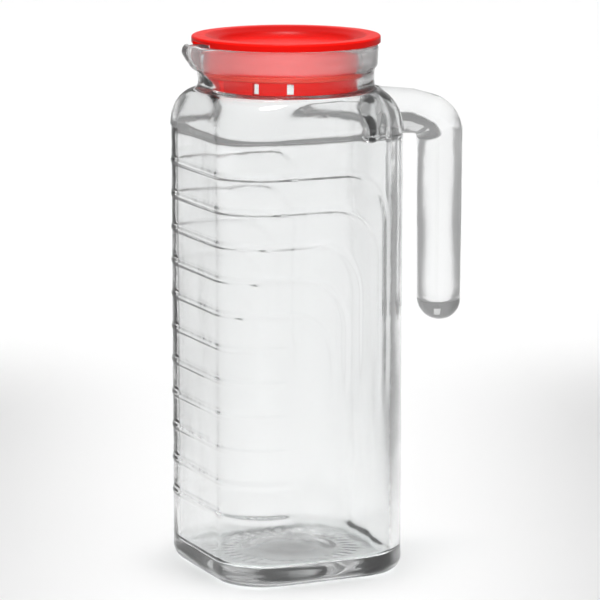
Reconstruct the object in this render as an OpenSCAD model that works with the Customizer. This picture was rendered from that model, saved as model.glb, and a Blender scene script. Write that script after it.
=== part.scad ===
// Square glass refrigerator jug: a pressed glass vessel with an open hook handle and a
// pouring lip, closed by a red plug lid with a sealing ring and pouring slots.
// Millimetres. The origin is on the table under the middle of the mouth.
// +X points to the handle, -X to the pouring lip, +Z up.

/* [Vessel] */
// Width of the square body, face to face
body_w = 92.4; // [90:0.2:96]
// Radius of the body's upright corners
corner_r = 23; // [20:0.5:26]
// Height where the flat sides end and the shoulder starts
side_h = 207; // [180:1:230]
// Height of the shoulder
shoulder_h = 18; // [14:1:24]
// Thickness of the glass sides
side_wall = 4.2; // [3:0.1:5]
// Thickness of the glass floor
floor_wall = 9; // [6:0.5:12]
// Radius of the bottom edge all round
heel_r = 6; // [4:0.5:8]

/* [Mouth] */
// Outer radius of the neck
neck_r = 40.8; // [40.6:0.1:42]
// Inner radius of the neck
bore_r = 35.2; // [35.2:0.1:35.6]
// Outer radius of the thicker band round the rim
collar_r = 42.3; // [41.5:0.1:43]
// Height of the band round the rim
collar_h = 10; // [8:0.5:12]
// Height of the neck, from the shoulder to the rim
neck_h = 21; // [20:0.5:22]
// How far the pouring lip reaches from the middle
lip_reach = 51.5; // [48:0.1:56]
// Width of the pouring groove where it leaves the neck
groove_w = 15; // [10:0.5:20]

/* [Handle] */
// Distance from the middle of the jug to the middle of the grip
grip_x = 79.5; // [76:0.5:84]
// Height of the grip's free lower end
grip_end_z = 110.5; // [90:0.5:130]
// Half thickness of the grip, front to back
grip_half_t = 10.3; // [8:0.1:11]
// Half width of the grip, side to side
grip_half_w = 13; // [10:0.1:15]
// Radius of the round shoulder on the outside of the bend
outer_bend_r = 19.6; // [16:0.2:24]
// Radius of the corner on the inside of the bend
inner_bend_r = 3.2; // [2:0.2:6]
// How steeply the top of the arm falls away from the body, in degrees
top_fall = 11.3; // [6:0.1:14]
// How steeply the underside of the arm falls away from the body, in degrees
under_fall = 4; // [0:0.5:8]

/* [Lid] */
// Radius of the lid's flange
flange_r = 43.6; // [42:0.1:46]
// Thickness of the flange
flange_t = 3.7; // [3:0.1:5]
// Radius of the dished top
dish_r = 38; // [36:0.5:40]
// Depth of the dished top
dish_depth = 4.7; // [3:0.1:5]
// Outer radius of the plug that goes into the neck
plug_r = 33; // [32.5:0.1:33]
// Thickness of the plug's wall
plug_wall = 2.4; // [2:0.1:3]
// Length of the plug below the flange
plug_h = 21.8; // [20:0.1:24]
// Pouring slots: angles from the lip, each one mirrored
slot_angles = [8.5, 42, 69];
// Width of a pouring slot
slot_w = 3; // [2:0.1:4]
// Height of a pouring slot
slot_h = 6.7; // [4:0.1:7]
// Half angle of the cut-away under the flange above the pouring lip
lip_relief_angle = 13; // [8:1:18]

/* [Sealing ring] */
// Outer radius of the ring
ring_r = 34.9; // [34.5:0.1:34.9]
// Height of the ring
ring_h = 4.4; // [3:0.1:5]
// Depth of the ring's groove in the plug
ring_seat = 1; // [0.6:0.1:1.2]

/* [Hidden] */

half_w = body_w / 2;
neck_z = side_h + shoulder_h;
rim_z = neck_z + neck_h;
rim_gap = 0.3;
flange_z = rim_z + rim_gap;
top_z = flange_z + flange_t;
plug_z = flange_z - plug_h;
ring_z = plug_z + slot_h + 0.5;
seat_gap = 0.2;
ring_fit = 0.05;
corner_steps = 12;

// A quarter ellipse, from 0 at u = 0 to 1 at u = 1, that ends square to its start
function swell(u) = 1 - sqrt(max(0, 1 - u * u));

// One level ring of points: a square with round corners, or a circle where half = r
function ring(z, half, r) =
  [for (quarter = [0 : 3], k = [0.5 : corner_steps])
    let (a = 90 * (quarter + k / corner_steps),
         x = quarter == 0 || quarter == 3 ? 1 : -1,
         y = quarter < 2 ? 1 : -1)
    [x * (half - r) + r * cos(a), y * (half - r) + r * sin(a), z]];

// A closed solid through a stack of rings, from the lowest to the highest
module loft(rings) {
  n = len(rings[0]);
  last = len(rings) - 1;
  walls = [for (i = [0 : last - 1], k = [0 : n - 1], upper = [0, 1])
    let (a = i * n + k, b = i * n + (k + 1) % n)
    upper ? [a + n, b + n, b] : [a, a + n, b]];
  floor_face = [[for (k = [0 : n - 1]) k]];
  top_face = [[for (k = [n - 1 : -1 : 0]) last * n + k]];
  polyhedron([for (r = rings) for (p = r) p], concat(walls, floor_face, top_face));
}

// The whole vessel's outer or inner skin: heel, flat sides and shoulder.
// The section turns from a square with round corners into the round neck.
module skin(z0, heel, half, r, top_r) {
  heel_rings = [for (u = [1 : -0.25 : 0])
    ring(z0 + heel * (1 - u), half - heel * 0.8 * swell(u), r - heel * 0.5 * swell(u))];
  shoulder_rings = [for (u = [0, 0.3, 0.5, 0.68, 0.82, 0.92, 0.98, 1])
    ring(side_h + shoulder_h * u,
         half + (top_r - half) * swell(u),
         r + (top_r - r) * swell(u))];
  loft(concat(heel_rings, shoulder_rings));
}

module outer_skin() {
  skin(0, heel_r, half_w, corner_r, neck_r - 0.3);
}

module inner_skin() {
  skin(floor_wall, heel_r, half_w - side_wall, corner_r - side_wall, bore_r - 0.3);
}

// Neck, the thicker band round the rim, and the fillet between neck and shoulder
module neck() {
  edge = 1.5;
  step = 1.5;
  fillet = 1.5;
  rotate_extrude($fn = 96)
    polygon(concat(
      [[bore_r - 2, neck_z - 3], [neck_r, neck_z - 3]],
      [for (a = [0 : 30 : 90])
        [neck_r + fillet * (1 - sin(a)), neck_z - 0.4 + fillet * (1 - cos(a))]],
      [[neck_r, rim_z - collar_h - step], [collar_r, rim_z - collar_h]],
      [for (a = [0 : 30 : 90])
        [collar_r - edge * (1 - cos(a)), rim_z - edge * (1 - sin(a))]],
      [[bore_r - 2, rim_z]]));
}

// The beak outside the neck: a blunt nose that stands a little above the rim and falls
// back into the neck below it
module lip_solid() {
  nose_r = 3.4;
  lip_rise = 1;
  root = neck_r - 4;
  difference() {
    hull() {
      translate([nose_r - lip_reach, 0, rim_z - 4.5])
        cylinder(r = nose_r, h = 4.5 + lip_rise, $fn = 32);
      for (a = [-22, 22])
        rotate([0, 0, 180 + a])
          translate([root, 0, rim_z - 14])
            cylinder(r = 3, h = 12, $fn = 32);
    }
    translate([0, 0, rim_z])
      cylinder(r = flange_r + 0.4, h = 5, $fn = 180);
  }
}

// The groove that leads the drink past the sealing ring and over the lip
module pouring_groove() {
  end_r = 2.2;
  nose_wall = 4;
  hull() {
    translate([end_r + nose_wall - lip_reach, 0, rim_z - 1.4])
      cylinder(r = end_r, h = 4, $fn = 32);
    for (y = [-1, 1])
      translate([-bore_r + 5, y * (groove_w / 2 - 3), rim_z - 17])
        cylinder(r = 3, h = 21, $fn = 32);
  }
}

module glass_vessel() {
  color([0.86, 0.9, 0.9, 0.45])
    difference() {
      union() {
        outer_skin();
        neck();
        lip_solid();
      }
      inner_skin();
      translate([0, 0, neck_z - 4])
        cylinder(r = bore_r, h = neck_h + 8, $fn = 128);
      pouring_groove();
    }
}

// The handle runs out along the arm, round the bend and straight down the grip.
// Each station pairs a point on its outer outline with one on its inner outline, in XZ.
arm_start_x = 38;
outer_bend = [grip_x + grip_half_t - outer_bend_r, neck_z - 25.2];
inner_bend = [grip_x - grip_half_t - inner_bend_r, neck_z - 28];
end_round_h = 10;
grip_taper = 0.06;

function mix(a, b, u) = a + (b - a) * u;
function round_point(middle, r, a) = middle + r * [sin(a), cos(a)];
function back_along(p, fall, x) = [x, p[1] + (p[0] - x) * tan(fall)];

outer_turn = round_point(outer_bend, outer_bend_r, top_fall);
inner_turn = round_point(inner_bend, inner_bend_r, under_fall);

function arm_pair(u) = [
  mix(back_along(outer_turn, top_fall, arm_start_x), outer_turn, u),
  mix(back_along(inner_turn, under_fall, arm_start_x), inner_turn, u)];
function bend_pair(u) = [
  round_point(outer_bend, outer_bend_r, mix(top_fall, 90, u)),
  round_point(inner_bend, inner_bend_r, mix(under_fall, 90, u))];
function grip_pair(z) = [
  [grip_x + grip_half_t, min(z, outer_bend[1])],
  [grip_x - grip_half_t, min(z, inner_bend[1])]];

// The grip gets slimmer on its way down, and its free end is a dome
function grip_size(z) = 1 - grip_taper * (inner_bend[1] - z) / (inner_bend[1] - grip_end_z);
function dome(d) = d >= end_round_h ? 1 : sqrt(max(0.02, 1 - pow(1 - d / end_round_h, 2)));

handle_stations = concat(
  [for (u = [0 : 0.2 : 0.8]) [arm_pair(u), 1]],
  [for (u = [0 : 0.125 : 1]) [bend_pair(u), 1]],
  [for (u = [0.12 : 0.2 : 0.92])
    let (z = mix(inner_bend[1], grip_end_z + end_round_h, u)) [grip_pair(z), grip_size(z)]],
  [for (d = [10, 7, 4.5, 2.5, 1, 0.1])
    let (z = grip_end_z + d) [grip_pair(z), grip_size(z) * dome(d)]]);

module handle_bar() {
  sides = 28;
  n = len(handle_stations);
  points = [for (s = handle_stations, k = [0 : sides - 1])
    let (outer = s[0][0], inner = s[0][1], size = s[1],
         middle = (outer + inner) / 2,
         across = (outer - inner) / 2 * size * cos(360 * k / sides),
         side = grip_half_w * size * sin(360 * k / sides))
    [middle[0] + across[0], side, middle[1] + across[1]]];
  walls = [for (i = [0 : n - 2], k = [0 : sides - 1], upper = [0, 1])
    let (a = i * sides + k, b = i * sides + (k + 1) % sides)
    upper ? [b, b + sides, a + sides] : [a, b, a + sides]];
  start_cap = [[for (k = [sides - 1 : -1 : 0]) k]];
  end_cap = [[for (k = [0 : sides - 1]) (n - 1) * sides + k]];
  polyhedron(points, concat(walls, start_cap, end_cap), convexity = 4);
}

module glass_handle() {
  color([0.86, 0.9, 0.9, 0.45])
    difference() {
      handle_bar();
      outer_skin();
      neck();
    }
}

module lid_seal() {
  seat_r = plug_r - ring_seat;
  color([0.93, 0.32, 0.25])
    rotate_extrude($fn = 128)
      polygon([
        [seat_r + ring_fit, ring_z], [ring_r - 0.6, ring_z], [ring_r, ring_z + 0.8],
        [ring_r, ring_z + ring_h - 0.8], [ring_r - 0.6, ring_z + ring_h],
        [seat_r + ring_fit, ring_z + ring_h]]);
}

// Flange, dished top and hollow plug in one section
module lid_section() {
  seat_r = plug_r - ring_seat;
  inside = plug_r - plug_wall;
  floor_z = top_z - dish_depth;
  floor_t = 2;
  shoulder_r = bore_r - 0.5;
  edge = 0.6;
  polygon([
    [0, floor_z], [dish_r - 9, floor_z], [dish_r - 4, floor_z + 1.6],
    [dish_r - 1, top_z - 0.8], [dish_r, top_z],
    [flange_r - edge, top_z], [flange_r, top_z - edge],
    [flange_r, flange_z], [shoulder_r, flange_z],
    [shoulder_r, flange_z - 2], [plug_r, flange_z - 3.5],
    [plug_r, ring_z + ring_h + seat_gap], [seat_r, ring_z + ring_h + seat_gap],
    [seat_r, ring_z - seat_gap], [plug_r, ring_z - seat_gap],
    [plug_r, plug_z], [inside, plug_z],
    [inside, floor_z - floor_t], [0, floor_z - floor_t]]);
}

module pouring_slot(angle) {
  rotate([0, 0, 180 + angle])
    translate([plug_r - plug_wall - 2, -slot_w / 2, plug_z - 1])
      cube([plug_wall + 4, slot_w, slot_h + 1]);
}

module lip_relief() {
  wide = 2 * flange_r * sin(lip_relief_angle);
  translate([-flange_r - 2, -wide / 2, flange_z - 1])
    cube([flange_r - dish_r + 2, wide, 2.7]);
}

module lid() {
  color([0.9, 0.09, 0.07])
    difference() {
      rotate_extrude($fn = 128)
        lid_section();
      for (a = slot_angles, side = [-1, 1])
        pouring_slot(a * side);
      lip_relief();
    }
}

glass_vessel();
glass_handle();
lid_seal();
lid();
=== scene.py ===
"""Square glass refrigerator jug with an open hook handle, raised line relief and a red plug lid.

The glass is one closed casting: vessel, pouring lip and handle. The lid lifts off and turns,
with its soft sealing ring round the plug. Sizes are in millimetres until a mesh is made.
"""
import math

import bpy
import numpy as np
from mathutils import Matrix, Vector


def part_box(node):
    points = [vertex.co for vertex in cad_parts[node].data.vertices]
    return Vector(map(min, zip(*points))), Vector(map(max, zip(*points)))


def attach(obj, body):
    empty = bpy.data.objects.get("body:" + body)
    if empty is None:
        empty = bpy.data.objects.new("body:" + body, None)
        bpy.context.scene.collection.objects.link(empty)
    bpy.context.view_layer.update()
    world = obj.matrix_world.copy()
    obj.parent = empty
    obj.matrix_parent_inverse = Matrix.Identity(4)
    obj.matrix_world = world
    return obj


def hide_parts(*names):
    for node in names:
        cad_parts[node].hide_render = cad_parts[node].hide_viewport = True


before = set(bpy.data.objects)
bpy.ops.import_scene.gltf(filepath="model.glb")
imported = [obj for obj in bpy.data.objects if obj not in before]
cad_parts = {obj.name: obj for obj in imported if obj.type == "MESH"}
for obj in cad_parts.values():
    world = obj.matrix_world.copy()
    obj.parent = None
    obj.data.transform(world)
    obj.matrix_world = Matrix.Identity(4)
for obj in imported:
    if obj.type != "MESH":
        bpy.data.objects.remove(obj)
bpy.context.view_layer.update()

MM = 0.001


def node_box(name):
    """A CAD node's lowest and highest corners in millimetres."""
    low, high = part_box(name)
    return np.array(low) / MM, np.array(high) / MM


vessel_low, vessel_high = node_box("glass_vessel")
handle_low, handle_high = node_box("glass_handle")
lid_low, lid_high = node_box("lid")
seal_low, seal_high = node_box("lid_seal")

# ---------------------------------------------------------------- sizes of the glass
BODY_HALF = vessel_high[1]
CORNER = 23.0
INNER_CORNER = 20.2
SIDE_TOP = 207.0
NECK_Z = 225.0
RIM_Z = 246.0
WALL = 4.2
FLOOR_Z = 9.0
HEEL = 7.0
INNER_HEEL = 3.0
NECK_R = 40.8
COLLAR_R = 42.3
BORE_R = 35.2
LIP_REACH = -vessel_low[0] - COLLAR_R - 0.4

# ---------------------------------------------------------------- raised lines
LINE_COUNT = 11
FIRST_LINE_Z = 190.5
LINE_STEP = 15.75
LINE_HALF_WIDTH = 2.2
LINE_HEIGHT = 0.45
LEG_PLACES = (30.0, 24.0, 15.5, 9.0, 2.5)
LEG_ENDS = (76.0, 64.0, 84.0, 84.0, 80.0)
TURN_RUN = 21.0
TURN_DROP = 24.5
FADE_PLACE = -20.0


def smooth_step(value, low, high):
    t = np.clip((value - low) / (high - low), 0, 1)
    return t * t * (3 - 2 * t)


def swell(u):
    """A quarter ellipse from 0 at u = 0 to 1 at u = 1."""
    return 1 - math.sqrt(max(0.0, 1 - u * u))


def ridge(distance):
    """Height of a soft round ridge at a distance from its middle line."""
    inside = np.clip(np.abs(distance) / LINE_HALF_WIDTH, 0, 1)
    return LINE_HEIGHT * np.cos(inside * math.pi / 2) ** 2


def turned_line(along, z, level, leg, leg_end):
    """A line that comes from the lip side, turns down in a quarter ellipse and fades as a leg."""
    start, centre = leg - TURN_RUN, level - TURN_DROP
    across, up = (along - start) / TURN_RUN, (z - centre) / TURN_DROP
    size = np.maximum(np.hypot(across, up), 1e-6)
    slope = np.maximum(np.hypot(across / TURN_RUN, up / TURN_DROP) / size, 1e-6)
    height = np.where(along <= start, ridge(z - level), ridge((size - 1) / slope))
    fade = smooth_step(z, leg_end, leg_end + 30)
    height = np.where(z < centre, ridge(along - leg) * fade, height)
    return np.where((z < centre) & (along < start), 0, height)


def line_relief(along, z):
    """Height of the raised lines. along runs round the body from the middle of the broad
    face, towards the handle."""
    height = np.zeros(np.broadcast(along, z).shape)
    for i in range(LINE_COUNT):
        level = FIRST_LINE_Z - i * LINE_STEP
        if i < len(LEG_PLACES):
            line = turned_line(along, z, level, LEG_PLACES[i], LEG_ENDS[i])
        else:
            line = ridge(z - level) * (1 - smooth_step(along, FADE_PLACE - 8, FADE_PLACE + 6))
        height = np.maximum(height, line)
    return height


# ---------------------------------------------------------------- vessel
def round_body_places():
    """Places round half the body, from the middle of the handle's face to the lip."""
    flat = BODY_HALF - CORNER
    arc = CORNER * math.pi / 2
    half_way = 4 * flat + 2 * arc
    face_middle = 2 * flat + arc
    fine_from = face_middle - LEG_PLACES[0] - 4
    fine_to = face_middle - FADE_PLACE + 5
    lip_from = half_way - 36
    stretches = ((0, fine_from, 1.6), (fine_from, fine_to, 0.8), (fine_to, lip_from, 2.4),
                 (lip_from, half_way, 1.5))
    places = []
    for low, high, step in stretches:
        count = max(1, round((high - low) / step))
        places += [low + (high - low) * k / count for k in range(count)]
    return np.array(places + [half_way]), face_middle


def on_body(places):
    """Point and outward normal on the body's outline at each place."""
    flat, arc = BODY_HALF - CORNER, CORNER * math.pi / 2
    x, y = np.zeros_like(places), np.zeros_like(places)
    nx, ny = np.zeros_like(places), np.zeros_like(places)
    for i, s in enumerate(places):
        if s < flat:
            x[i], y[i], nx[i] = BODY_HALF, s, 1
        elif s < flat + arc:
            a = (s - flat) / CORNER
            nx[i], ny[i] = math.cos(a), math.sin(a)
            x[i], y[i] = flat + CORNER * nx[i], flat + CORNER * ny[i]
        elif s < 3 * flat + arc:
            x[i], y[i], ny[i] = 2 * flat + arc - s, BODY_HALF, 1
        elif s < 3 * flat + 2 * arc:
            a = math.pi / 2 + (s - 3 * flat - arc) / CORNER
            nx[i], ny[i] = math.cos(a), math.sin(a)
            x[i], y[i] = -flat + CORNER * nx[i], flat + CORNER * ny[i]
        else:
            x[i], y[i], nx[i] = -BODY_HALF, 4 * flat + 2 * arc - s, -1
    return x, y, nx, ny


def square_reach(half, corner, turn):
    """Distance from the axis to a square with round corners, in the direction turn."""
    c, s = np.abs(np.cos(turn)), np.abs(np.sin(turn))
    big, small = np.maximum(c, s), np.minimum(c, s)
    k = half - corner
    both = k * (big + small)
    arc = both + np.sqrt(np.maximum(both ** 2 - 2 * k * k + corner ** 2, 0))
    return np.where(half * small / big <= k, half / big, arc)


def side_heights():
    """Levels on the flat sides: close together across every line, finer where lines turn."""
    levels = [FIRST_LINE_Z - i * LINE_STEP for i in range(LINE_COUNT)]
    turned_low = levels[len(LEG_PLACES) - 1] - TURN_DROP
    across = (-2.2, -1.5, -0.75, 0, 0.75, 1.5, 2.2)
    heights = [z + d for z in levels for d in across]
    edges = [HEEL + 1] + sorted(levels) + [SIDE_TOP - 0.6]
    for low, high in zip(edges, edges[1:]):
        low, high = low + 2.8, high - 2.8
        step = 0.9 if low > turned_low else 2.6
        count = max(1, round((high - low) / step))
        heights += [low + (high - low) * k / count for k in range(count + 1)]
    return sorted(heights)


class Rows:
    """Collects level rings of glass points from the underside, over the rim, to the floor."""

    def __init__(self):
        places, face_middle = round_body_places()
        x, y, nx, ny = on_body(places)
        self.x = np.concatenate([x, x[-2:0:-1]])
        self.y = np.concatenate([y, -y[-2:0:-1]])
        self.nx = np.concatenate([nx, nx[-2:0:-1]])
        self.ny = np.concatenate([ny, -ny[-2:0:-1]])
        self.along = face_middle - np.concatenate([places, places[-2:0:-1]])
        self.turn = np.arctan2(self.y, self.x)
        self.from_lip = np.degrees(np.abs(np.abs(self.turn) - math.pi))
        self.rings = []

    def beak(self, width):
        return np.exp(-(self.from_lip / width) ** 2)

    def add(self, half, corner, z, lip=0.0, groove=0.0, relief=None, lift=0.0):
        reach = square_reach(half, corner, self.turn)
        reach = reach + lip * LIP_REACH * self.beak(15) + groove * 13.2 * self.beak(10)
        x, y = reach * np.cos(self.turn), reach * np.sin(self.turn)
        if relief is not None:
            x, y = x + self.nx * relief, y + self.ny * relief
        raised = smooth_step(reach, 45.2, 48.0) * self.beak(18) * (1 - 0.7 * self.beak(5))
        level = z + lift * 1.7 * raised
        self.rings.append(np.stack([x, y, level * np.ones_like(x)], 1))

    def mesh(self, first_pole, last_pole):
        n, count = len(self.turn), len(self.rings)
        points = [p for ring in self.rings for p in ring]
        points += [(0, 0, first_pole), (0, 0, last_pole)]
        faces = []
        for i in range(count - 1):
            a, b = i * n, (i + 1) * n
            faces += [(a + k, a + (k + 1) % n, b + (k + 1) % n, b + k) for k in range(n)]
        low, high, last = count * n, count * n + 1, (count - 1) * n
        faces += [(low, (k + 1) % n, k) for k in range(n)]
        faces += [(high, last + k, last + (k + 1) % n) for k in range(n)]
        return points, faces


def new_piece(name, points, faces):
    """A mesh object from points in millimetres."""
    mesh = bpy.data.meshes.new(name)
    mesh.from_pydata([Vector(p) * MM for p in points], [], faces)
    mesh.validate()
    piece = bpy.data.objects.new(name, mesh)
    bpy.context.collection.objects.link(piece)
    return piece


def underside(rows):
    """Dished round hollow, a knurled ring about it, foot ring and rounded heel."""
    hollow, ring, foot = 3.6, 0.9, 0.25
    knurl = np.cos(36 * rows.turn)
    for radius in (4, 8, 12, 15, 16.5, 18, 19, 20, 21, 22, 23, 24):
        rows.add(radius, radius, hollow - (hollow - ring) * smooth_step(radius, 14, 24))
    for radius in np.linspace(25, 33.5, 11):
        level = ring - (ring - foot) * smooth_step(radius, 26, 32)
        amount = 0.16 * smooth_step(radius, 25.5, 28) * smooth_step(radius, 33.5, 31)
        rows.add(radius, radius, level + amount * knurl)
    for half, corner, z in ((34.6, 33, 0.2), (35.8, 30, 0.08), (37, 27, 0.0), (38.8, 22, 0.0)):
        rows.add(half, corner, z)
    for k in range(9):
        u = 1 - k / 8
        rows.add(BODY_HALF - HEEL * 0.75 * swell(u), CORNER - HEEL * 0.35 * swell(u),
                 HEEL * (1 - u) + 0.02)


def sides_and_shoulder(rows):
    for z in side_heights():
        wave = 0.05 * np.sin(rows.along * 0.09 + z * 0.021) * np.sin(z * 0.037 + 1.1)
        rows.add(BODY_HALF, CORNER, z, relief=line_relief(rows.along, z) + wave - 0.15)
    ledge = 0.45
    rows.add(BODY_HALF, CORNER, SIDE_TOP - 0.5, relief=-0.1)
    rows.add(BODY_HALF, CORNER, SIDE_TOP, relief=ledge * 0.5)
    rows.add(BODY_HALF, CORNER, SIDE_TOP + 0.6, relief=ledge)
    for u in np.sin(np.linspace(0.12, 1.0, 15) * math.pi / 2)[:-1]:
        blend = swell(u)
        rows.add(BODY_HALF + (NECK_R - BODY_HALF) * blend, CORNER + (NECK_R - CORNER) * blend,
                 SIDE_TOP + (NECK_Z - SIDE_TOP) * u, relief=ledge * (1 - u) ** 0.5)


def neck_and_rim(rows):
    """Round neck, the thicker band, the rounded rim and the lip that grows out of them."""
    outside = ((41.9, 225.4, 0.0), (41.2, 226.2, 0.0), (40.8, 227.6, 0.0), (40.7, 229.5, 0.0),
               (40.7, 231.5, 0.06), (40.8, 233.2, 0.16), (41.0, 234.4, 0.24), (41.6, 235.2, 0.34),
               (42.1, 236.0, 0.43), (42.3, 237.0, 0.52), (42.3, 238.5, 0.65), (42.4, 240.3, 0.8),
               (42.5, 242.0, 0.91), (42.6, 243.4, 0.98))
    for radius, z, lip in outside:
        rows.add(radius, radius, z, lip=lip)
    for radius, z, lift in ((42.55, 244.4, 0.15), (42.2, 245.2, 0.5), (41.5, 245.8, 0.85),
                            (40.4, 246.0, 1.0), (39.2, 246.0, 1.0)):
        rows.add(radius, radius, z, lip=1.0 - (42.6 - radius) * 0.02, lift=lift)
    for radius, z, groove in ((37.4, 246.0, 0.55), (36.3, 245.8, 0.88), (35.6, 245.2, 0.97),
                              (35.2, 244.2, 0.96), (35.2, 242.4, 0.9), (35.2, 240.4, 0.8),
                              (35.2, 238.4, 0.68), (35.2, 236.4, 0.54), (35.2, 234.4, 0.39),
                              (35.2, 232.4, 0.24), (35.2, 230.6, 0.11), (35.2, 229.0, 0.03),
                              (35.2, 227.5, 0.0)):
        rows.add(radius, radius, z, groove=groove, lift=0.7)


def inside(rows):
    """Bore, inner shoulder, inner sides a little uneven as pressed, and the floor's round well."""
    half, corner = BODY_HALF - WALL, INNER_CORNER
    for u in np.sin(np.linspace(1.0, 0.0, 14) * math.pi / 2):
        blend = swell(u)
        rows.add(half + (BORE_R - half) * blend, corner + (BORE_R - corner) * blend,
                 SIDE_TOP + (NECK_Z - SIDE_TOP) * u)
    for z in np.linspace(SIDE_TOP - 6, FLOOR_Z + INNER_HEEL + 3, 30):
        wave = 0.12 * np.sin(rows.along * 0.13 + z * 0.03) * np.cos(z * 0.05)
        rows.add(half, corner, z, relief=wave)
    for k in range(9):
        u = k / 8
        rows.add(half - INNER_HEEL * 0.8 * swell(u), corner - INNER_HEEL * 0.1 * swell(u),
                 FLOOR_Z + INNER_HEEL * (1 - u))
    for radius, rounding in ((32, 20.5), (29.5, 23), (26.5, 25.5), (22, 22), (16, 16), (9, 9)):
        rows.add(radius, rounding, FLOOR_Z)


def make_vessel():
    rows = Rows()
    underside(rows)
    sides_and_shoulder(rows)
    neck_and_rim(rows)
    inside(rows)
    return new_piece("jug_glass", *rows.mesh(3.6, FLOOR_Z))


# ---------------------------------------------------------------- handle
GRIP_X = handle_high[0] - 10.3
GRIP_HALF = 10.3
GRIP_END_Z = handle_low[2] - 0.1
OUTER_BEND_R, INNER_BEND_R = 19.6, 3.2
TOP_FALL, UNDER_FALL = math.radians(11.3), math.radians(4)
OUTER_BEND = np.array([GRIP_X + GRIP_HALF - OUTER_BEND_R, NECK_Z - 25.2])
INNER_BEND = np.array([GRIP_X - GRIP_HALF - INNER_BEND_R, NECK_Z - 28])
HANDLE_SIDES = 48
ARM_HALF_WIDTH, GRIP_HALF_WIDTH = 13.2, 13.0
ROOT_FLARE = ((-2.3, 1.27), (-0.5, 1.27), (0.25, 1.2), (1.0, 1.14), (2.2, 1.09), (4.0, 1.04),
              (6.5, 1.01))
ARM_RUN = 9.5


def round_point(middle, radius, angle):
    return middle + radius * np.array([math.sin(angle), math.cos(angle)])


def back_along(point, fall, x):
    return np.array([x, point[1] + (point[0] - x) * math.tan(fall)])


def body_face(y, z):
    """X of the vessel's outside on the handle's side, at a place y, z."""
    u = np.clip((z - SIDE_TOP) / (NECK_Z - SIDE_TOP), 0, 1)
    blend = 1 - np.sqrt(1 - u ** 2)
    half, corner = BODY_HALF + (NECK_R - BODY_HALF) * blend, CORNER + (NECK_R - CORNER) * blend
    k = half - corner
    over = np.clip(np.abs(y) - k, 0, corner * 0.98)
    return k + np.sqrt(corner ** 2 - over ** 2)


def handle_oval(outer, inner, size, half_width):
    """A ring of points round the handle, between a point on its outer and its inner outline."""
    around = np.linspace(0, 2 * math.pi, HANDLE_SIDES, endpoint=False)
    middle, across = (outer + inner) / 2, (outer - inner) / 2 * size
    c, s = np.cos(around), np.sin(around)
    x, y, z = middle[0] + across[0] * c, half_width * size * s, middle[1] + across[1] * c
    return np.stack([x, y, z], 1)


def root_and_arm():
    """Flared root in the glass wall, then the arm out to the bend."""
    outer_turn = round_point(OUTER_BEND, OUTER_BEND_R, TOP_FALL)
    inner_turn = round_point(INNER_BEND, INNER_BEND_R, UNDER_FALL)

    def arm(x, size=1.0):
        outer, inner = back_along(outer_turn, TOP_FALL, x), back_along(inner_turn, UNDER_FALL, x)
        return handle_oval(outer, inner, size, ARM_HALF_WIDTH)

    rings = []
    for proud, size in ROOT_FLARE:
        ring = arm(BODY_HALF + proud, size)
        ring[:, 0] = body_face(ring[:, 1], ring[:, 2]) + proud
        rings.append(ring)
    for t in np.linspace(0, 1, 6)[1:]:
        ring = arm(BODY_HALF + ROOT_FLARE[-1][0] + ARM_RUN * t)
        own = body_face(ring[:, 1], ring[:, 2]) + ROOT_FLARE[-1][0] + ARM_RUN * t
        flat = outer_turn[0] * 0.5 + inner_turn[0] * 0.5 - 8 * (1 - t)
        ring[:, 0] = own * (1 - t) + (own * 0.3 + flat * 0.7 - 1.0) * t
        rings.append(ring)
    return rings


def bend():
    rings = []
    for u in np.linspace(0, 1, 17):
        outer = round_point(OUTER_BEND, OUTER_BEND_R, TOP_FALL + (math.pi / 2 - TOP_FALL) * u)
        inner = round_point(INNER_BEND, INNER_BEND_R, UNDER_FALL + (math.pi / 2 - UNDER_FALL) * u)
        rings.append(handle_oval(outer, inner, 1.0, ARM_HALF_WIDTH - 0.2 * u))
    return rings


def grip():
    """Upright grip, a little slimmer towards its round free end."""
    def oval(z, size):
        outer, inner = np.array([GRIP_X + GRIP_HALF, z]), np.array([GRIP_X - GRIP_HALF, z])
        return handle_oval(outer, inner, size, GRIP_HALF_WIDTH)

    rings = []
    for z in np.linspace(INNER_BEND[1] - 4, GRIP_END_Z + 11, 14):
        rings.append(oval(z, 1 - 0.06 * (INNER_BEND[1] - z) / (INNER_BEND[1] - GRIP_END_Z)))
    for part in np.linspace(0, 1, 10)[1:]:
        angle = part * math.pi / 2 * 0.985
        rings.append(oval(GRIP_END_Z + 10 - 10 * math.sin(angle), 0.945 * math.cos(angle)))
    return rings


def make_handle():
    rings = root_and_arm() + bend() + grip()
    n, count = HANDLE_SIDES, len(rings)
    points = [p for ring in rings for p in ring]
    faces = []
    for i in range(count - 1):
        a, b = i * n, (i + 1) * n
        faces += [(a + k, b + k, b + (k + 1) % n, a + (k + 1) % n) for k in range(n)]
    root_y, root_z = 0.0, float(rings[0][:, 2].mean())
    points += [(float(body_face(root_y, root_z)) - 2.3, 0, root_z),
               tuple(rings[-1].mean(axis=0) - np.array([0, 0, 0.05]))]
    low, high, last = count * n, count * n + 1, (count - 1) * n
    faces += [(low, k, (k + 1) % n) for k in range(n)]
    faces += [(high, last + (k + 1) % n, last + k) for k in range(n)]
    return new_piece("handle_bar", points, faces)


def only(piece):
    """Makes one object the selected and active one."""
    bpy.ops.object.select_all(action="DESELECT")
    piece.select_set(True)
    bpy.context.view_layer.objects.active = piece


def apply_modifier(piece, kind, **settings):
    only(piece)
    modifier = piece.modifiers.new(kind.lower(), kind)
    for key, value in settings.items():
        setattr(modifier, key, value)
    bpy.ops.object.modifier_apply(modifier=modifier.name)


def join_handle(vessel, bar):
    """Casts the handle onto the vessel."""
    apply_modifier(vessel, "BOOLEAN", operation="UNION", object=bar, solver="EXACT")
    bpy.data.objects.remove(bar)


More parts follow.
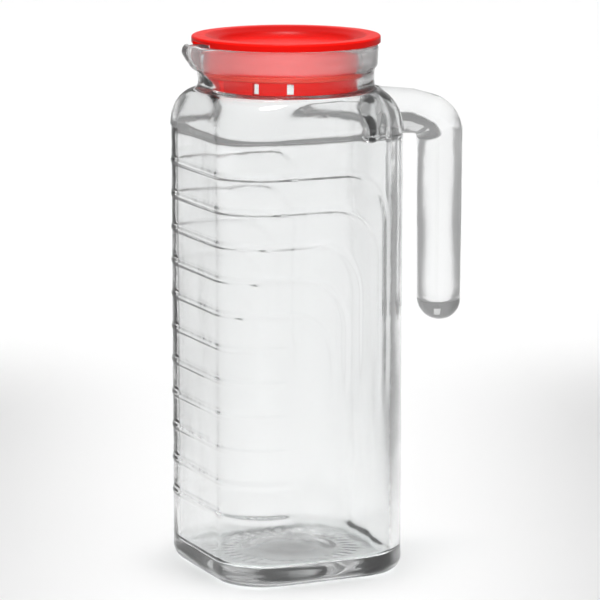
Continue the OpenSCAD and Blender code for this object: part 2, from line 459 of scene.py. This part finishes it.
def make_glass():
    vessel = make_vessel()
    join_handle(vessel, make_handle())
    only(vessel)
    bpy.ops.object.shade_smooth()
    return vessel


# ---------------------------------------------------------------- lid and seal
LATHE_STEPS = 160


def lathe(name, outline, closed):
    """Draws a ring at the first point of an outline and extrudes it from point to point."""
    bpy.ops.object.select_all(action="DESELECT")
    radius, z = outline[0]
    bpy.ops.mesh.primitive_circle_add(vertices=LATHE_STEPS, radius=radius * MM,
                                      location=(0, 0, z * MM), fill_type="NOTHING")
    piece = bpy.context.object
    piece.name = piece.data.name = name
    bpy.ops.object.transform_apply(location=True)
    bpy.ops.object.mode_set(mode="EDIT")
    bpy.ops.mesh.select_all(action="SELECT")
    if not closed:
        bpy.ops.mesh.edge_face_add()
        bpy.ops.mesh.select_all(action="SELECT")
        bpy.ops.mesh.region_to_loop()
    for (r0, z0), (r1, z1) in zip(outline, outline[1:]):
        bpy.ops.mesh.extrude_edges_move(
            TRANSFORM_OT_translate={"value": (0, 0, (z1 - z0) * MM)})
        bpy.ops.transform.resize(value=(r1 / r0, r1 / r0, 1), center_override=(0, 0, z1 * MM))
    if closed:
        bpy.ops.mesh.extrude_edges_move(
            TRANSFORM_OT_translate={"value": (0, 0, (outline[0][1] - outline[-1][1]) * MM)})
        scale = outline[0][0] / outline[-1][0]
        bpy.ops.transform.resize(value=(scale, scale, 1), center_override=(0, 0, z * MM))
    else:
        bpy.ops.mesh.edge_face_add()
    bpy.ops.mesh.select_all(action="SELECT")
    bpy.ops.mesh.remove_doubles(threshold=0.00001)
    bpy.ops.mesh.normals_make_consistent(inside=False)
    bpy.ops.object.mode_set(mode="OBJECT")
    return piece


def arc_points(middle, radius, start, stop, count):
    """Points on an arc, angles in degrees from +r towards +z."""
    angles = [math.radians(a) for a in np.linspace(start, stop, count)]
    return [(middle[0] + radius * math.cos(a), middle[1] + radius * math.sin(a)) for a in angles]


LID_R = lid_high[0]
LID_TOP = lid_high[2]
PLUG_Z = lid_low[2]
PLUG_R = 33.0
PLUG_WALL = 2.4
FLANGE_Z = RIM_Z + 0.3
SEAL_LOW, SEAL_HIGH = seal_low[2], seal_high[2]
SEAT_R = PLUG_R - 1.0
SLOT_ANGLES = (8.5, 42.0, 69.0)


def lid_outline():
    """Dished top, flange and hollow plug, from the middle of the dish to its underside."""
    floor = LID_TOP - 4.7
    shoulder_r = BORE_R - 0.5
    gap = 0.2
    dish = [(10, floor), (20, floor), (26, floor + 0.05)]
    dish += arc_points((26, floor + 7.5), 7.45, -88, -40, 9)
    dish += [(33.6, floor + 3.1), (35.2, floor + 3.9), (36.6, LID_TOP - 0.35)]
    rim = [(37.4, LID_TOP - 0.08), (38.4, LID_TOP), (41.0, LID_TOP), (42.6, LID_TOP - 0.1)]
    rim += arc_points((LID_R - 0.9, LID_TOP - 1.0), 0.9, 80, 0, 5)
    rim += [(LID_R, FLANGE_Z + 0.7)] + arc_points((LID_R - 0.5, FLANGE_Z + 0.5), 0.5, -10, -90, 4)
    under = [(shoulder_r, FLANGE_Z), (shoulder_r - 0.05, FLANGE_Z - 1.6),
             (PLUG_R + 0.4, FLANGE_Z - 2.8), (PLUG_R, FLANGE_Z - 3.6)]
    plug = [(PLUG_R, SEAL_HIGH + gap), (SEAT_R, SEAL_HIGH + gap), (SEAT_R, SEAL_LOW - gap),
            (PLUG_R, SEAL_LOW - gap), (PLUG_R, PLUG_Z + 0.5), (PLUG_R - 0.5, PLUG_Z),
            (PLUG_R - PLUG_WALL + 0.4, PLUG_Z), (PLUG_R - PLUG_WALL, PLUG_Z + 0.4)]
    under_dish = [(PLUG_R - PLUG_WALL, floor - 3.0), (PLUG_R - PLUG_WALL - 1.0, floor - 2.0),
                  (12, floor - 2.0)]
    return dish + rim + under + plug + under_dish


def cutter_box(size, place, turn):
    """A box cutter standing at a place, turned about the jug's axis."""
    bpy.ops.object.select_all(action="DESELECT")
    bpy.ops.mesh.primitive_cube_add(size=1)
    box = bpy.context.object
    box.scale = [s * MM for s in size]
    a = math.radians(turn)
    box.rotation_euler = (0, 0, a)
    box.location = (place[0] * MM * math.cos(a), place[0] * MM * math.sin(a), place[1] * MM)
    bpy.ops.object.transform_apply(location=True, rotation=True, scale=True)
    return box


def cut(piece, cutters):
    for box in cutters:
        apply_modifier(piece, "BOOLEAN", operation="DIFFERENCE", object=box, solver="EXACT")
        bpy.data.objects.remove(box)


def make_lid():
    lid = lathe("lid_red", lid_outline(), closed=False)
    slot_top = SEAL_LOW - 0.5
    height = slot_top - PLUG_Z + 2
    slots = [cutter_box((8, 3.0, height), (PLUG_R - 1, slot_top - height / 2), 180 + side * angle)
             for angle in SLOT_ANGLES for side in (-1, 1)]
    relief = cutter_box((8, 19.6, 4), (LID_R - 1.6, FLANGE_Z - 0.3), 180)
    cut(lid, slots + [relief])
    apply_modifier(lid, "BEVEL", width=0.3 * MM, segments=2, limit_method="ANGLE",
                   angle_limit=math.radians(40))
    only(lid)
    bpy.ops.object.shade_smooth_by_angle(angle=math.radians(40))
    return lid


def make_seal():
    """Soft ring with two round lips that press on the glass."""
    inner = SEAT_R + 0.05
    outer = seal_high[0]
    middle = (SEAL_LOW + SEAL_HIGH) / 2
    lip = (SEAL_HIGH - SEAL_LOW) / 4
    outline = [(inner, SEAL_LOW + 0.3), (inner + 0.3, SEAL_LOW), (outer - 1.2, SEAL_LOW)]
    outline += arc_points((outer - lip, middle - lip + 0.1), lip, -80, 60, 9)
    outline += arc_points((outer - lip, middle + lip - 0.1), lip, -60, 80, 9)
    outline += [(outer - 1.2, SEAL_HIGH), (inner + 0.3, SEAL_HIGH), (inner, SEAL_HIGH - 0.3)]
    seal = lathe("seal_ring", outline, closed=True)
    only(seal)
    bpy.ops.object.shade_smooth_by_angle(angle=math.radians(50))
    return seal


# ---------------------------------------------------------------- materials
class Socket:
    """A node output that can be used in arithmetic."""

    def __init__(self, nodes, output):
        self.nodes, self.output = nodes, output

    def maths(self, operation, *values):
        return self.nodes.node("ShaderNodeMath", dict(enumerate(values)), operation=operation)

    def __add__(self, other):
        return self.maths("ADD", self, other)

    def __radd__(self, other):
        return self.maths("ADD", other, self)

    def __sub__(self, other):
        return self.maths("SUBTRACT", self, other)

    def __rsub__(self, other):
        return self.maths("SUBTRACT", other, self)

    def __mul__(self, other):
        return self.maths("MULTIPLY", self, other)

    def __rmul__(self, other):
        return self.maths("MULTIPLY", other, self)

    def step(self, low, high):
        """Rises softly from 0 at low to 1 at high."""
        sockets = {"Value": self, "From Min": low, "From Max": high}
        return self.nodes.node("ShaderNodeMapRange", sockets, interpolation_type="SMOOTHSTEP")


class Nodes:
    """Makes any node in a node tree with one method."""

    def __init__(self, tree):
        self.tree = tree

    def node(self, kind, sockets, out=0, **settings):
        made = self.tree.nodes.new(kind)
        for key, value in settings.items():
            setattr(made, key, value)
        for key, value in sockets.items():
            self.link(made.inputs[key], value)
        return Socket(self, made.outputs[out])

    def link(self, target, value):
        if isinstance(value, Socket):
            self.tree.links.new(value.output, target)
        else:
            target.default_value = value

    def place(self, kind="Object"):
        return self.node("ShaderNodeTexCoord", {}, out=kind)

    def axis(self, name, place):
        return self.node("ShaderNodeSeparateXYZ", {0: place}, out=name)

    def noise(self, scale, detail=2.0):
        sockets = {"Vector": self.place(), "Scale": scale, "Detail": detail}
        return self.node("ShaderNodeTexNoise", sockets)

    def mix(self, amount, first, second):
        return self.node("ShaderNodeMix", {0: amount, 6: first, 7: second}, out=2, data_type="RGBA")


class Paint(Nodes):
    """A material on one Principled shader."""

    def __init__(self, name, **constants):
        self.material = bpy.data.materials.new(name)
        self.material.use_nodes = True
        super().__init__(self.material.node_tree)
        self.shader = self.tree.nodes["Principled BSDF"]
        for key, value in constants.items():
            self.shader.inputs[key.replace("_", " ")].default_value = value

    def feed(self, socket, value):
        self.link(self.shader.inputs[socket], value)

    def surface(self):
        return Socket(self, self.shader.outputs[0])

    def show(self, surface):
        self.link(self.tree.nodes["Material Output"].inputs["Surface"], surface)

    def bump(self, height, distance, strength):
        sockets = {"Strength": strength, "Distance": distance, "Height": height}
        self.feed("Normal", self.node("ShaderNodeBump", sockets))


def glass_paint():
    """Clear pressed glass: slight ripple, stippled at the base and painted greyer there as painted
    shade, with a milky white band round the rim as a painted reflection. It lets lamp light
    straight through."""
    paint = Paint("clear_glass", Transmission_Weight=1.0, IOR=1.5)
    height = paint.axis("Z", paint.place())
    # Painted shade: the glass colour turns greyer towards the heel, standing in for the shade the
    # base sees.
    above_base = height.step(0.004, 0.012)
    paint.feed("Base Color", paint.mix(above_base, (0.88, 0.89, 0.89, 1), (0.947, 0.954, 0.954, 1)))
    stipple, neck = height.step(0.0046, 0.0038), height.step(0.224, 0.232)
    paint.feed("Roughness", 0.07 + 0.12 * stipple + 0.04 * neck)
    paint.bump(paint.noise(55.0, 1.0) + 0.25 * paint.noise(220.0, 1.0), 0.00035, 0.5)
    # Painted reflection: a little diffuse white mixed into the band round the rim stands in for
    # white reflected on the collar.
    painted_veil_amount = 0.10 * height.step(0.2352, 0.2368)
    veil_white = paint.node("ShaderNodeBsdfDiffuse", {"Color": (0.9, 0.9, 0.9, 1)})
    glass_with_painted_veil = paint.node("ShaderNodeMixShader", {0: painted_veil_amount, 1: paint.surface(), 2: veil_white})
    clear = paint.node("ShaderNodeBsdfTransparent", {"Color": (0.92, 0.93, 0.93, 1)})
    lamp = paint.node("ShaderNodeLightPath", {}, out="Is Shadow Ray")
    paint.show(paint.node("ShaderNodeMixShader", {0: lamp, 1: glass_with_painted_veil, 2: clear}))
    return paint.material


def lid_paint():
    """Red polyethylene with a satin gloss and fine moulded grain. The flange's edge and the dish's
    steep wall are painted a deeper red as painted shade, where they get less light."""
    paint = Paint("red_lid_plastic", IOR=1.45, Specular_IOR_Level=0.09, Subsurface_Weight=0.08,
                  Subsurface_Radius=(0.004, 0.0008, 0.0005))
    place = paint.place()
    x, y, z = (paint.axis(name, place) for name in "XYZ")
    radius = paint.node("ShaderNodeMath", {0: x * x + y * y}, operation="SQRT")
    # Painted shade: the flange's outer edge and the dish's steep wall are darkened towards deep
    # red.
    flange_edge_shade = radius.step(0.0424, 0.0434) * z.step(0.2445, 0.2462) * z.step(0.2494, 0.2486)
    dish_wall_shade = radius.step(0.0260, 0.0330) * radius.step(0.0380, 0.0362) * z.step(0.2440, 0.2450)
    cloud = paint.mix(paint.noise(40.0, 3.0), (0.82, 0.006, 0.003, 1), (0.90, 0.011, 0.006, 1))
    painted_shade_red = paint.mix(flange_edge_shade * 0.5 + dish_wall_shade * 0.5, cloud, (0.42, 0.001, 0.001, 1))
    paint.feed("Base Color", painted_shade_red)
    paint.feed("Roughness", 0.26 + 0.14 * paint.noise(160.0, 4.0))
    paint.bump(paint.noise(2600.0, 2.0), 0.00004, 0.35)
    return paint.material


def seal_paint():
    """Softer, paler red ring."""
    paint = Paint("red_seal_rubber", IOR=1.45, Subsurface_Weight=0.25,
                  Subsurface_Radius=(0.005, 0.0015, 0.001))
    cloud = paint.noise(60.0, 2.0)
    paint.feed("Base Color", paint.mix(cloud, (0.90, 0.055, 0.032, 1), (0.97, 0.09, 0.055, 1)))
    paint.feed("Roughness", 0.42 + 0.12 * paint.noise(300.0, 3.0))
    paint.bump(paint.noise(1800.0, 2.0), 0.00004, 0.3)
    return paint.material


def floor_paint():
    paint = Paint("pale_floor", Base_Color=(0.88, 0.88, 0.88, 1), Roughness=0.6)
    return paint.material


def dress(piece, material, body, slot, *nodes):
    """Gives a piece its material, its body and the CAD nodes that it stands for."""
    piece.data.materials.clear()
    piece.data.materials.append(material)
    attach(piece, body)
    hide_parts(*nodes)


# ---------------------------------------------------------------- studio
VIEW_TURN = math.radians(24.33 + 0.23)
VIEW_DROP = math.radians(10.53)
FORWARD = Vector((math.sin(VIEW_TURN), math.cos(VIEW_TURN), 0))
RIGHT = Vector((FORWARD.y, -FORWARD.x, 0))
VIEW_BACK = Vector((-0.6585, -1.4564, 0.4227))
LENS = 209.07
FLOOR_POWER = 2.5


def make_camera():
    data = bpy.data.cameras.new("camera")
    data.lens, data.sensor_width = LENS, 36
    camera = bpy.data.objects.new("camera", data)
    camera.location = VIEW_BACK
    camera.rotation_euler = (math.pi / 2 - VIEW_DROP, 0, -VIEW_TURN)
    bpy.context.collection.objects.link(camera)
    bpy.context.scene.camera = camera


def soft_light(name, size, power, place, target, spread=180):
    """A rectangular softbox that isn't seen directly."""
    data = bpy.data.lights.new(name, "AREA")
    data.shape, data.size, data.size_y, data.energy = "RECTANGLE", size[0], size[1], power
    data.spread = math.radians(spread)
    lamp = bpy.data.objects.new(name, data)
    lamp.location = place
    lamp.rotation_euler = (Vector(target) - Vector(place)).to_track_quat("-Z", "Y").to_euler()
    lamp.visible_camera = False
    bpy.context.collection.objects.link(lamp)
    return lamp


def floor_box(name, size, forward, side, power):
    """A softbox facing straight down over the floor, square to the view."""
    place = FORWARD * forward + RIGHT * side + Vector((0, 0, 1.0))
    box = soft_light(name, size, power, place, place, 22)
    box.rotation_euler = (0, 0, -VIEW_TURN)


def make_lights():
    """Softboxes over a path of floor that widens away from the jug and over the floor on both
    sides, a small one that lights the neck, and a faint one behind."""
    for width, start, stop in ((0.36, -0.8, 0.45), (0.84, 0.45, 1.05), (1.4, 1.05, 4.0)):
        length = stop - start
        floor_box("floor_softbox", (width, length), start + length / 2, 0,
                  FLOOR_POWER * width * length)
    for side in (-1.45, 1.45):
        floor_box("side_softbox", (0.5, 2.4), 0.2, side, FLOOR_POWER * 1.2)
    neck = soft_light("neck_softbox", (0.16, 0.04), 0.066, FORWARD * -1.2 + Vector((0, 0, 0.155)),
                      (0, 0, 0.24), 12)
    neck.visible_glossy = neck.visible_transmission = False
    soft_light("back_softbox", (0.8, 1.0), 0.25, FORWARD * 3.2 + Vector((0, 0, 1.3)),
               (0, 0, 0.25), 90)


def make_world():
    """A dim pale room, brighter above the jug, in front of it and low behind it."""
    world = bpy.data.worlds.new("soft_room")
    world.use_nodes = True
    room = Nodes(world.node_tree)
    way = room.place("Generated")
    front = room.axis("X", way) * -FORWARD.x + room.axis("Y", way) * -FORWARD.y
    light = (0.22 + 0.1 * front.step(-0.2, 0.9) + 0.5 * room.axis("Z", way).step(0.6, 0.95)
             + 0.08 * front.step(-0.6, -0.97))
    room.link(world.node_tree.nodes["Background"].inputs["Strength"], light)
    world.node_tree.nodes["Background"].inputs["Color"].default_value = (1, 1, 1, 1)
    bpy.context.scene.world = world


def make_floor():
    bpy.ops.object.select_all(action="DESELECT")
    bpy.ops.mesh.primitive_plane_add(size=16, location=(0, 0, -0.0002))
    floor = bpy.context.object
    floor.name = "floor"
    floor.data.materials.append(floor_paint())


glass = make_glass()
lid = make_lid()
seal = make_seal()
dress(glass, glass_paint(), "jug", "glass", "glass_vessel", "glass_handle")
dress(lid, lid_paint(), "lid", "lid_plastic", "lid")
dress(seal, seal_paint(), "seal", "seal", "lid_seal")

make_floor()
make_world()
make_lights()
make_camera()

scene = bpy.context.scene
scene.view_settings.view_transform = "Standard"
scene.cycles.max_bounces = 24
scene.cycles.transmission_bounces = 24
